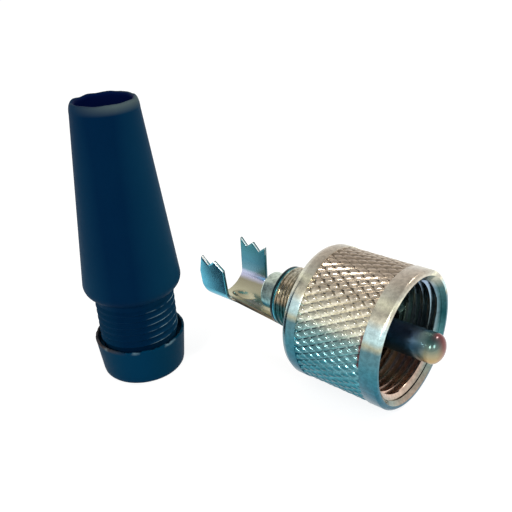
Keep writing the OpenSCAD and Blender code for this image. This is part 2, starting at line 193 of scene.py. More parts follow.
def mixColour(tree, factor, a, b, blend="MIX"):
    made = addNode(tree, "ShaderNodeMix", {0: factor, 6: a, 7: b}, data_type="RGBA", blend_type=blend)
    return made.outputs[2]


def objectPlace(tree, scale=(1, 1, 1)):
    place = addNode(tree, "ShaderNodeTexCoord").outputs["Object"]
    return addNode(tree, "ShaderNodeMapping", {"Vector": place, "Scale": scale}).outputs["Vector"]


def noiseAt(tree, place, scale, detail=4.0, roughness=0.55):
    made = addNode(tree, "ShaderNodeTexNoise",
                   {"Vector": place, "Scale": scale, "Detail": detail, "Roughness": roughness})
    return made.outputs["Fac"]


def along(tree, place, letter, low, high):
    # 0 at one place on an axis of the object and 1 at another, both in millimetres
    part = addNode(tree, "ShaderNodeSeparateXYZ", {0: place}).outputs[letter]
    made = addNode(tree, "ShaderNodeMapRange", {"Value": part, "From Min": low * millimetre,
                                                "From Max": high * millimetre})
    return made.outputs["Result"]


def awayFrom(tree, place, point, across, low, high):
    # 0 at one distance from an axis of the object and 1 at another, both in millimetres
    centred = addNode(tree, "ShaderNodeMapping", {"Vector": place, "Scale": across, "Location": [
        -part * millimetre * share for part, share in zip(point, across)]}).outputs["Vector"]
    length = addNode(tree, "ShaderNodeVectorMath", {0: centred}, operation="LENGTH").outputs["Value"]
    made = addNode(tree, "ShaderNodeMapRange", {"Value": length, "From Min": low * millimetre,
                                                "From Max": high * millimetre})
    return made.outputs["Result"]


def surface(tree, values):
    shader = addNode(tree, "ShaderNodeBsdfPrincipled", values)
    addNode(tree, "ShaderNodeOutputMaterial", {"Surface": shader.outputs["BSDF"]})
    return shader


def bump(tree, height, strength, distance):
    made = addNode(tree, "ShaderNodeBump", {"Height": height, "Strength": strength, "Distance": distance})
    return made.outputs["Normal"]


def heightStops(stops):
    # Stops are given as heights from -1, the bottom of a turned piece, to 1, its top
    return [((height + 1) / 2, colour) for height, colour in stops]


def platePaintedLight(tree, place, stops, radius, mottle=0.05):
    # Painted reflections and shade that change from the bottom of the plug to its top, with an uneven border
    height = along(tree, place, "Z", axisZ - radius, axisZ + radius)
    wander = maths(tree, "MULTIPLY_ADD", noiseAt(tree, place, 300.0), mottle, -mottle / 2)
    return ramp(tree, maths(tree, "ADD", height, wander), heightStops(stops))


def plateSurface(tree, place, tone, roughness=0.2, speckle=0.15, grain=900.0, grainDepth=0.012):
    # Bright plate with fine specks and a fine grain
    fine = noiseAt(tree, place, grain, detail=6.0)
    shade = ramp(tree, noiseAt(tree, place, grain * 2.2, detail=2.0),
                 [(0.35, (1 - speckle,) * 3), (0.65, (1 + speckle,) * 3)])
    surface(tree, {"Base Color": mixColour(tree, 1.0, tone, shade, "MULTIPLY"), "Metallic": 1.0,
                   "Roughness": maths(tree, "MULTIPLY_ADD", fine, 0.2, roughness - 0.1),
                   "Normal": bump(tree, fine, 0.3, grainDepth * millimetre)})


def plateMaterial(name, stops, radius, **finish):
    material, tree = newMaterial(name)
    place = objectPlace(tree)
    plateSurface(tree, place, platePaintedLight(tree, place, stops, radius), **finish)
    return material


# Coupling nut

nutSettings = {
    "diamondsRound": 48,
    "rows": 9,
    "cellsPerDiamond": 10,
    "frontBand": 2.4,
    "rearBand": 2.1,
    "knurlDepth": 0.3,
    "knurlDrop": 0.05,
    "knurlInside": 0.7,
    "knurlSink": 0.05,
    "grooveWidth": 0.25,
    "narrowWidth": 0.17,
    "narrowShare": 0.75,
    "flatDome": 0.15,
    "boreRadius": 7.43,
    "threadDepth": 0.6,
    "mouthBevel": 0.3,
    "mouthChamfer": 1.1,
    "wallFront": 11.0,
    "journalRadius": 4.43,
    "rearBevel": (0.7, 0.32),
    "threadPitch": 1.058,
    "threadEnd": 9.7,
    "threadSteps": 96,
    "steps": 192,
}

# Painted reflections, highlights and shade by height: -1 at the bottom of a turned piece, 0 at its axis and 1 at
# its top
bandPaintedLight = [(-1, (0.02, 0.10, 0.15)), (-0.4, (0.02, 0.13, 0.19)), (0.0, (0.05, 0.19, 0.24)),
            (0.30, (0.10, 0.21, 0.24)), (0.37, (0.42, 0.42, 0.30)), (0.44, (0.53, 0.73, 0.72)),
            (0.56, (0.55, 0.72, 0.73)), (0.66, (0.76, 0.72, 0.56)), (0.75, (0.50, 0.47, 0.37)),
            (0.82, (0.85, 0.83, 0.62)), (0.88, (0.60, 0.58, 0.48)), (1, (0.52, 0.44, 0.35))]
flatPaintedLight = [(-1, (0.01, 0.10, 0.15)), (-0.1, (0.03, 0.16, 0.20)), (0.15, (0.09, 0.20, 0.21)),
            (0.32, (0.16, 0.26, 0.25)), (0.44, (0.42, 0.42, 0.33)), (0.6, (0.50, 0.47, 0.37)),
            (0.8, (0.56, 0.48, 0.37)), (0.92, (0.64, 0.54, 0.43)), (1, (0.48, 0.38, 0.29))]
groovePaintedLight = [(-1, (0.03, 0.19, 0.25)), (-0.3, (0.08, 0.30, 0.36)), (0.1, (0.30, 0.52, 0.54)),
              (0.3, (0.48, 0.62, 0.60)), (0.45, (1.0, 0.98, 0.84)), (0.66, (0.92, 0.86, 0.70)),
              (0.8, (0.36, 0.31, 0.24)), (1, (0.28, 0.22, 0.16))]
borePaintedLight = [(-1, (0.80, 0.55, 0.43)), (-0.72, (0.68, 0.48, 0.39)), (-0.42, (0.30, 0.36, 0.36)),
            (0.2, (0.34, 0.50, 0.58)), (1, (0.26, 0.34, 0.52))]
rimPaintedLight = [(-1, (0.45, 0.33, 0.25)), (-0.82, (0.26, 0.30, 0.25)), (-0.55, (0.09, 0.24, 0.25)),
           (0, (0.01, 0.06, 0.07)), (0.5, (0.05, 0.14, 0.15)), (0.78, (0.45, 0.45, 0.34)),
           (1, (0.55, 0.52, 0.40))]
rearPaintedLight = [(-1, (0.10, 0.20, 0.23)), (0, (0.22, 0.28, 0.27)), (1, (0.36, 0.34, 0.27))]


def grooveHeight(phase, width, dome):
    # 0 at the bottom of a groove and 1 in the middle of the flat beside it, which is slightly raised
    away = abs((phase + 0.5) % 1 - 0.5)
    if away < width:
        return (1 - dome) * away / width
    return 1 - dome * (0.5 - away) / (0.5 - width)


def knurlMaterial():
    # Flats and grooves have painted reflections of their own, and the front ends of the grooves carry a painted
    # dark red shadow
    s = nutSettings
    material, tree = newMaterial("nutKnurl")
    place = objectPlace(tree)
    crest = nutRadius - s["knurlDrop"]
    onFlat = awayFrom(tree, place, plugPoint, (0, 1, 1), crest - s["knurlDepth"] * 0.75, crest - 0.04)
    tone = mixColour(tree, onFlat, platePaintedLight(tree, place, groovePaintedLight, nutRadius),
                     platePaintedLight(tree, place, flatPaintedLight, nutRadius))
    front = mouthX - s["frontBand"]
    # Painted shadow, dark red, in the ends of the grooves against the front band
    redPaintedLight = maths(tree, "MULTIPLY", along(tree, place, "X", front - 0.45, front - 0.25),
                  maths(tree, "MULTIPLY", along(tree, place, "Z", axisZ, axisZ + 0.6),
                        along(tree, place, "Z", axisZ + 4.6, axisZ + 4)))
    tone = mixColour(tree, maths(tree, "MULTIPLY", redPaintedLight, 0.8), tone, (0.13, 0.02, 0.02, 1))
    plateSurface(tree, place, tone, roughness=0.2, speckle=0.2)
    return material


def boreMaterial():
    # Painted reflections: copper below and grey-teal above; the chamfer at the mouth is darker at its side
    s = nutSettings
    material, tree = newMaterial("nutBore")
    place = objectPlace(tree)
    chamfer = s["boreRadius"] + s["mouthChamfer"]
    onRim = along(tree, place, "X", mouthX - 1.3, mouthX - 0.6)
    tone = mixColour(tree, onRim, platePaintedLight(tree, place, borePaintedLight, s["boreRadius"]),
                     platePaintedLight(tree, place, rimPaintedLight, chamfer))
    plateSurface(tree, place, tone, roughness=0.18)
    return material


def addKnurl(bm, s, front, back):
    # A sheet wrapped round the nut, with two families of grooves pressed in; its inside is closed
    crest = nutRadius - s["knurlDrop"]
    around = s["diamondsRound"] * s["cellsPerDiamond"]
    lengthways = round(s["rows"] / 2 * s["cellsPerDiamond"])
    old = set(bm.verts)
    bmesh.ops.create_grid(bm, x_segments=around, y_segments=lengthways, size=0.5)
    sheet = [v for v in bm.verts if v not in old]
    for vert in sheet:
        turn, share = vert.co.x + 0.5, vert.co.y + 0.5
        slide = share * s["rows"] / 2
        wide = grooveHeight(turn * s["diamondsRound"] + slide, s["grooveWidth"], s["flatDome"])
        narrow = grooveHeight(turn * s["diamondsRound"] - slide, s["narrowWidth"], s["flatDome"])
        height = min(wide, 1 - s["narrowShare"] * (1 - narrow))
        radius = crest - s["knurlDepth"] * (1 - height)
        angle = turn * math.tau
        vert.co = (mouthX - front - (back - front) * share, axisY + radius * math.sin(angle),
                   axisZ + radius * math.cos(angle))
    bmesh.ops.remove_doubles(bm, verts=sheet, dist=0.0005)
    # Each cell is folded along the groove or the flat's edge that crosses it
    for face in [f for f in bm.faces if all(v not in old for v in f.verts)]:
        a, b, c, d = face.verts
        ra, rb, rc, rd = [round(axisRadius(v.co), 3) for v in face.verts]
        ends = (a, c) if (abs(ra - rc), ra + rc) < (abs(rb - rd), rb + rd) else (b, d)
        bmesh.utils.face_split(face, *ends)
    rims = [e for e in bm.edges if e.is_boundary and e.verts[0] not in old]
    made = bmesh.ops.extrude_edge_only(bm, edges=rims)["geom"]
    inner = [v for v in made if isinstance(v, bmesh.types.BMVert)]
    for vert in inner:
        out = Vector((0, vert.co.y - axisY, vert.co.z - axisZ)).normalized()
        vert.co = Vector((vert.co.x, axisY, axisZ)) + out * (crest - s["knurlInside"])
    # The inside is drawn straight from the front rim to the rear one and merged with it
    middleX = mouthX - (front + back) / 2
    frontRim = [e for e in made if isinstance(e, bmesh.types.BMEdge) and e.is_boundary
                and e.verts[0].co.x > middleX]
    drawn = bmesh.ops.extrude_edge_only(bm, edges=frontRim)["geom"]
    far = [v for v in drawn if isinstance(v, bmesh.types.BMVert)]
    bmesh.ops.translate(bm, vec=(front - back, 0, 0), verts=far)
    bmesh.ops.remove_doubles(bm, verts=inner + far, dist=0.0005)
    return [f for f in bm.faces if all(v not in old for v in f.verts)]


def buildNut(*materials):
    # Materials in the order band, knurl, bore and rear face
    s = nutSettings
    knurlFront = s["frontBand"]
    knurlBack = nutLength - s["rearBand"]
    core = nutRadius - s["knurlDrop"] - s["knurlDepth"] - 0.1
    threadRoot = s["boreRadius"] + s["threadDepth"]
    chamferRadius = s["boreRadius"] + s["mouthChamfer"]
    rearRun, rearDrop = s["rearBevel"]
    outline = [
        (0, chamferRadius), (0, nutRadius - s["mouthBevel"]), (s["mouthBevel"], nutRadius),
        (knurlFront, nutRadius), (knurlFront, core), (knurlBack, core), (knurlBack, nutRadius),
        (nutLength - rearRun, nutRadius), (nutLength, nutRadius - rearDrop),
        (nutLength, s["journalRadius"]), (s["wallFront"], s["journalRadius"]),
        (s["wallFront"], threadRoot), (chamferRadius - threadRoot, threadRoot)]
    bm = spunAboutPlug(outline, s["steps"])
    corners = [e for e in bm.edges if len(e.link_faces) == 2 and e.calc_face_angle(0) > 0.3
               and all(axisRadius(v.co) > nutRadius - 0.5 for v in e.verts)
               and all(not knurlFront - 0.1 < mouthX - v.co.x < knurlBack + 0.1
                       or axisRadius(v.co) > nutRadius - 0.01 for v in e.verts)]
    roundEdges(bm, corners, 0.06)
    # Coupling thread: a ridge that starts within the mouth's chamfer
    pitch = s["threadPitch"]
    base = threadRoot + 0.05
    half, tip = pitch * 0.42, pitch * 0.08
    first = mouthX + half
    flank = [(half - (half - tip) * k / 3, base - (base - s["boreRadius"]) * k / 3) for k in range(4)]
    section = ([(first + reach, axisY, axisZ + radius) for reach, radius in flank]
               + [(first - reach, axisY, axisZ + radius) for reach, radius in flank[::-1]])
    old = set(bm.verts)
    turns = (s["threadEnd"] + half) / pitch
    addScrewRidge(bm, section, plugPoint, -plugAxis, pitch, turns, s["threadSteps"], s["threadDepth"], 0.3)
    for vert in bm.verts:
        if vert in old:
            continue
        back = max(0.06, mouthX - vert.co.x)
        least = chamferRadius - back + 0.04
        out = Vector((0, vert.co.y - axisY, vert.co.z - axisZ))
        radius = max(out.length, least)
        vert.co = Vector((mouthX - back, axisY, axisZ)) + out.normalized() * radius
    for face in bm.faces:
        middle = face.calc_center_median()
        inside = axisRadius(middle) < chamferRadius + 0.01 and mouthX - middle.x < s["wallFront"] + 0.01
        onRear = mouthX - middle.x > nutLength - 0.02
        face.material_index = 3 if onRear else 2 if inside and axisRadius(middle) > s["journalRadius"] else 0
    for face in addKnurl(bm, s, knurlFront - s["knurlSink"], knurlBack + s["knurlSink"]):
        face.material_index = 1
    return finished(bm, "couplingNut", "coupling_nut", "nut", materials, 34)


# Plug body: sleeve with two teeth, shoulder, threaded collar and ferrule

bodySettings = {
    "sleeveFront": 6.6,
    "sleeveRadius": 6.4,
    "sleeveBore": 4.9,
    "pocketFloor": 9.6,
    "shoulderBack": 10.7,
    "toothLength": 1.6,
    "toothWidth": 2.6,
    "toothTip": 0.5,
    "collarRadius": 4.35,
    "plainCollar": 14.1,
    "collarBack": 19.4,
    "collarBevel": 0.25,
    "threadPitch": 0.5,
    "threadDepth": 0.15,
    "ferruleRadius": 2.75,
    "ferruleTaper": 0.05,
    "ferruleBack": 23.05,
    "ferruleBevel": 0.3,
    "cableBore": 1.75,
    "spigotBore": 2.92,
    "spigotBack": 12.6,
    "steps": 128,
}

# Painted reflections, highlights and shade by height, from the bottom of each turned part to its top
collarPaintedLight = [(-1, (0.01, 0.07, 0.08)), (-0.1, (0.01, 0.08, 0.09)), (0.2, (0.04, 0.09, 0.09)),
              (0.35, (0.34, 0.26, 0.17)), (0.6, (0.62, 0.54, 0.38)), (0.8, (0.60, 0.50, 0.36)),
              (1, (0.40, 0.38, 0.30))]
ferrulePaintedLight = [(-1, (0.03, 0.19, 0.26)), (-0.5, (0.11, 0.40, 0.49)), (-0.1, (0.32, 0.57, 0.57)),
               (0.4, (0.49, 0.62, 0.55)), (1, (0.59, 0.67, 0.57))]
toothPaintedLight = [(-1, (0.10, 0.14, 0.12)), (0, (0.20, 0.24, 0.17)), (1, (0.30, 0.30, 0.20))]


def buildBody(collarMaterial, ferruleMaterial, toothMaterial):
    s = bodySettings
    threadRoot = s["collarRadius"] - s["threadDepth"]
    ferruleEnd = s["ferruleRadius"] - s["ferruleTaper"]
    outline = [
        (s["sleeveFront"], s["sleeveBore"]), (s["sleeveFront"], s["sleeveRadius"]),
        (s["shoulderBack"], s["sleeveRadius"]), (s["shoulderBack"], s["collarRadius"]),
        (s["plainCollar"], s["collarRadius"]), (s["plainCollar"] + 0.2, threadRoot),
        (s["collarBack"] - 0.55, threadRoot), (s["collarBack"] - 0.45, s["collarRadius"]),
        (s["collarBack"] - s["collarBevel"], s["collarRadius"]),
        (s["collarBack"], s["collarRadius"] - s["collarBevel"]),
        (s["collarBack"], s["ferruleRadius"]), (s["ferruleBack"] - s["ferruleBevel"], ferruleEnd),
        (s["ferruleBack"] - 0.08, ferruleEnd - 0.14), (s["ferruleBack"], ferruleEnd - s["ferruleBevel"]),
        (s["ferruleBack"], s["cableBore"] + 0.15), (s["ferruleBack"] - 0.15, s["cableBore"]),
        (s["spigotBack"], s["cableBore"]), (s["spigotBack"], s["spigotBore"]),
        (s["pocketFloor"], s["spigotBore"]), (s["pocketFloor"], s["sleeveBore"])]
    bm = spunAboutPlug(outline, s["steps"])
    # Teeth are drawn out of the sleeve's front face, one on each side
    halfAngle = s["toothWidth"] / 2 / s["sleeveRadius"]
    for side in (1, -1):
        chosen = []
        for face in bm.faces:
            middle = face.calc_center_median()
            angle = math.atan2(middle.z - axisZ, side * (middle.y - axisY))
            onFront = abs(mouthX - middle.x - s["sleeveFront"]) < 0.01
            if onFront and abs(angle) < halfAngle:
                chosen.append(face)
        drawn = bmesh.ops.extrude_face_region(bm, geom=chosen)["geom"]
        tips = [v for v in drawn if isinstance(v, bmesh.types.BMVert)]
        bmesh.ops.delete(bm, geom=chosen, context="FACES_ONLY")
        bmesh.ops.translate(bm, vec=(s["toothLength"], 0, 0), verts=tips)
        for vert in tips:
            vert.co.z = axisZ + (vert.co.z - axisZ) * s["toothTip"] / s["toothWidth"]
    # Rear thread
    pitch = s["threadPitch"]
    first = mouthX - s["plainCollar"] - 0.3
    section = [(first + pitch * 0.45, axisY, axisZ + threadRoot - 0.03),
               (first + pitch * 0.12, axisY, axisZ + s["collarRadius"]),
               (first - pitch * 0.12, axisY, axisZ + s["collarRadius"]),
               (first - pitch * 0.45, axisY, axisZ + threadRoot - 0.03)]
    turns = (s["collarBack"] - s["plainCollar"] - 1.1) / pitch
    addScrewRidge(bm, section, plugPoint, -plugAxis, pitch, turns, 64, -s["threadDepth"], 0.4)
    for face in bm.faces:
        middle = face.calc_center_median()
        back = mouthX - middle.x
        face.material_index = 1 if back > s["collarBack"] + 0.01 else 2 if back < s["shoulderBack"] else 0
    return finished(bm, "plugBody", "plug_body", "plug",
                    [collarMaterial, ferruleMaterial, toothMaterial], 30)


# Centre pin with its rounded, tinned tip

pinSettings = {"radius": 1.98, "barrel": 2.3, "front": 7.4, "back": 12.58, "dome": 1.3,
               "solderBore": 0.9, "solderDepth": 6.0, "steps": 64}


def buildPin(material):
    s = pinSettings
    tipX = mouthX - pinHigh.x
    domeStart = tipX + s["dome"]
    dome = [(domeStart - s["dome"] * math.sin(a), s["radius"] * math.cos(a))
            for a in [math.radians(7.5 * k) for k in range(13)]]
    outline = ([(s["back"], s["barrel"]), (s["front"], s["barrel"]), (s["front"], s["radius"])]
               + dome[:-1] + [(tipX, 0.0), (s["back"] - s["solderDepth"], 0.0),
                              (s["back"] - s["solderDepth"], s["solderBore"]), (s["back"], s["solderBore"])])
    bm = spunAboutPlug(outline, s["steps"])
    return finished(bm, "centrePin", "centre_pin", "plug", [material])


def pinMaterial():
    # Painted reflections: dark shaft, and a tip that is olive above, bright at its end with a painted highlight
    # and red-brown below
    material, tree = newMaterial("pinPlate")
    place = objectPlace(tree)
    fine = noiseAt(tree, place, 900.0, detail=5.0)
    broad = noiseAt(tree, place, 350.0)
    shaft = ramp(tree, along(tree, place, "Z", axisZ - 2, axisZ + 2),
                 [(0.0, (0.12, 0.30, 0.38)), (0.6, (0.19, 0.40, 0.60)), (1.0, (0.38, 0.50, 0.58))])
    tip = ramp(tree, maths(tree, "MULTIPLY_ADD", broad, 0.2, along(tree, place, "Z", axisZ - 2.6, axisZ + 2)),
               [(0.0, (0.05, 0.14, 0.13)), (0.25, (0.22, 0.16, 0.08)), (0.45, (0.48, 0.34, 0.16)),
                (0.65, (0.36, 0.32, 0.20)), (0.85, (0.14, 0.20, 0.17)), (1.0, (0.06, 0.14, 0.14))])
    # Painted red reflection on the far side of the rounded end
    wander = maths(tree, "MULTIPLY_ADD", broad, 0.8, -0.4)
    side = maths(tree, "ADD", along(tree, place, "Y", axisY - 1.3, axisY + 0.3), wander, use_clamp=True)
    redPaintedLight = maths(tree, "MULTIPLY", side, along(tree, place, "X", pinHigh.x - 1.8, pinHigh.x - 1.2))
    tip = mixColour(tree, maths(tree, "MULTIPLY", redPaintedLight, 0.85), tip, (0.20, 0.03, 0.03, 1))
    # Painted shade on the shaft's foot, where it meets the insulator
    footX = mouthX - pinSettings["front"]
    shaft = mixColour(tree, along(tree, place, "X", footX + 0.9, footX + 0.1), shaft, (0.02, 0.03, 0.05, 1))
    towardsTip = along(tree, place, "X", pinHigh.x - 3.4, pinHigh.x - 1.6)
    surface(tree, {"Base Color": mixColour(tree, towardsTip, shaft, tip), "Metallic": 1.0,
                   "Roughness": maths(tree, "MULTIPLY_ADD", fine, 0.2, 0.12),
                   "Normal": bump(tree, fine, 0.3, 0.01 * millimetre)})
    return material


# Boot: tapered sleeve with a rounded lip and a threaded neck

bootSettings = {
    "overlapNeck": 1.4,
    "neckRadius": 5.5,
    "neckRoot": 5.15,
    "inside": 4.45,
    "cableHole": 3.5,
    "lowEdge": 12.48,
    "widest": (6.74, 14.06),
    "topRadius": 4.375,
    "lipHeight": 1.5,
    "mouthRadius": 3.93,
    "mouthDepth": 0.5,
    "lipWave": 0.14,
    "threadPitch": 1.0,
    "threadLow": 5.1,
    "holeLength": 11.0,
    "coneLength": 5.0,
    "steps": 128,
}


def quarterArc(centre, across, rise, first, last, steps=10):
    return [(centre[0] + across * math.cos(a), centre[1] + rise * math.sin(a))
            for a in [math.radians(first + (last - first) * k / steps) for k in range(steps + 1)]]


def buildBoot(material):
    s = bootSettings
    top = bootHigh.z
    widestRadius, widestZ = s["widest"]
    shoulderRun = widestRadius - s["neckRoot"] - 0.2
    shoulder = quarterArc((widestRadius - shoulderRun, widestZ), shoulderRun, widestZ - s["lowEdge"], -90, 0)
    lip = quarterArc((s["mouthRadius"], top - s["lipHeight"]), s["topRadius"] - s["mouthRadius"],
                     s["lipHeight"], 0, 90)
    inwards = quarterArc((s["mouthRadius"], top - s["mouthDepth"]), s["mouthRadius"] - s["cableHole"],
                         s["mouthDepth"], 90, 180, 6)[1:]
    sideSteps = 24
    foot, head = shoulder[-1], lip[0]
    side = [(foot[0] + (head[0] - foot[0]) * k / sideSteps, foot[1] + (head[1] - foot[1]) * k / sideSteps)
            for k in range(1, sideSteps)]
    outline = ([(s["inside"], s["overlapNeck"]), (s["neckRoot"], s["overlapNeck"]),
                (s["neckRoot"], s["lowEdge"])]
               + shoulder + side + lip + inwards
               + [(s["cableHole"], top - s["holeLength"]),
                  (s["inside"], top - s["holeLength"] - s["coneLength"])])
    bm = spunAboutBoot(outline, s["steps"])
    for vert in bm.verts:
        share = max(0, (vert.co.z - top + s["lipHeight"]) / s["lipHeight"])
        wave = noise.noise(Vector((vert.co.x, vert.co.y, 0)) * 0.8)
        vert.co.z -= share * s["lipWave"] * (0.6 + wave)
    pitch = s["threadPitch"]
    low = s["threadLow"]
    section = [(bootX + s["neckRoot"] - 0.05, bootY, low - pitch * 0.36),
               (bootX + s["neckRadius"], bootY, low - pitch * 0.04),
               (bootX + s["neckRadius"], bootY, low + pitch * 0.04),
               (bootX + s["neckRoot"] - 0.05, bootY, low + pitch * 0.36)]
    turns = (s["lowEdge"] - low - pitch * 0.6) / pitch
    addScrewRidge(bm, section, bootPoint, bootAxis, pitch, turns, 96, -0.4, 0.3)
    return finished(bm, "bootSleeve", "boot", "sleeve", [material], 34)


# Ring under the boot's neck, with a ragged rim

ringSettings = {"inside": 4.45, "foot": 5.82, "rim": 6.34, "mouth": 5.95, "bore": 5.23,
                "floor": 1.1, "mouthDepth": 1.3, "ragged": 0.22, "steps": 200}


def buildRing(material):
    s = ringSettings
    top = ringHigh.z
    outline = [(s["inside"], 0), (s["foot"] - 0.5, 0), (s["foot"] - 0.2, 0.1), (s["foot"] - 0.04, 0.32),
               (s["foot"] + 0.04, 0.7)]
    sideSteps = 8
    outline += [(s["foot"] + 0.04 + (s["rim"] - s["foot"] - 0.04) * k / sideSteps,
                 0.7 + (top - 0.12 - 0.7) * k / sideSteps) for k in range(1, sideSteps + 1)]
    outline += [(s["rim"] - 0.1, top), (s["mouth"] + 0.08, top), (s["mouth"], top - 0.1),
                (s["mouth"] - 0.15, top - s["mouthDepth"]), (s["bore"], top - s["mouthDepth"]),
                (s["bore"], s["floor"]), (s["inside"], s["floor"])]
    bm = spunAboutBoot(outline, s["steps"])
    for vert in bm.verts:
        if vert.co.z > top - 0.2:
            flat = Vector((vert.co.x, vert.co.y, 0))
            wave = noise.noise(flat * 1.3) + 0.7 * noise.noise(flat * 4.5)
            vert.co.z += s["ragged"] * min(0, wave - 0.2)
    return finished(bm, "bootRing", "boot_ring", "ring", [material], 34)


# Cable clamp: a ring-shaped eyelet, a strip bent back from it and two toothed ears

clampSettings = {
    "sheet": 0.45,
    "eyeletFront": 19.42,
    "eyeletRadius": 4.3,
    "holeRadius": 2.78,
    "earFront": 27.1,
    "earWidth": 4.8,
    "earHeight": 5.3,
    "stripDrop": 2.9,
    "stripFrontDrop": 3.65,
    "troughRadius": 4.525,
    "troughHalf": 3.2,
    "bendRadius": 1.5,
    "farLean": 1.0,
    "nearLean": 6.0,
    "notchDepth": 1.1,
    "tipFall": 0.25,
    "nearBack": 1.4,
    "nearTeethBack": 0.6,
    "cornerRadius": 1.2,
    "rearTurnIn": 3.8,
    "dimpleLength": 4.0,
    "dimpleWidth": 2.0,
    "dimpleDepth": 0.55,
    "columns": 40,
    "arcSteps": 24,
    "bendSteps": 8,
    "riseSteps": 12,
    "stripSteps": 14,
}


def curveThrough(points, at):
    # Height of a line through points that run from left to right
    for (x0, y0), (x1, y1) in zip(points, points[1:]):
        if at <= x1:
            return y0 + (y1 - y0) * max(0, (at - x0) / (x1 - x0))
    return points[-1][1]


def sheetPoint(s, distance, lean):
    # (out, up) of the sheet's middle at a distance from the trough's bottom, measured along the sheet
    troughAngle = math.asin(s["troughHalf"] / s["troughRadius"])
    troughLength = s["troughRadius"] * troughAngle
    if distance <= troughLength:
        angle = distance / s["troughRadius"]
        return s["troughRadius"] * math.sin(angle), s["troughRadius"] * (1 - math.cos(angle))
    end = math.radians(90 - lean)
    bendLength = s["bendRadius"] * (end - troughAngle)
    angle = troughAngle + min(distance - troughLength, bendLength) / s["bendRadius"]
    out = s["troughHalf"] + s["bendRadius"] * (math.sin(angle) - math.sin(troughAngle))
    up = (s["troughRadius"] * (1 - math.cos(troughAngle))
          + s["bendRadius"] * (math.cos(troughAngle) - math.cos(angle)))
    rise = max(0, distance - troughLength - bendLength)
    return out + rise * math.cos(end), up + rise * math.sin(end)


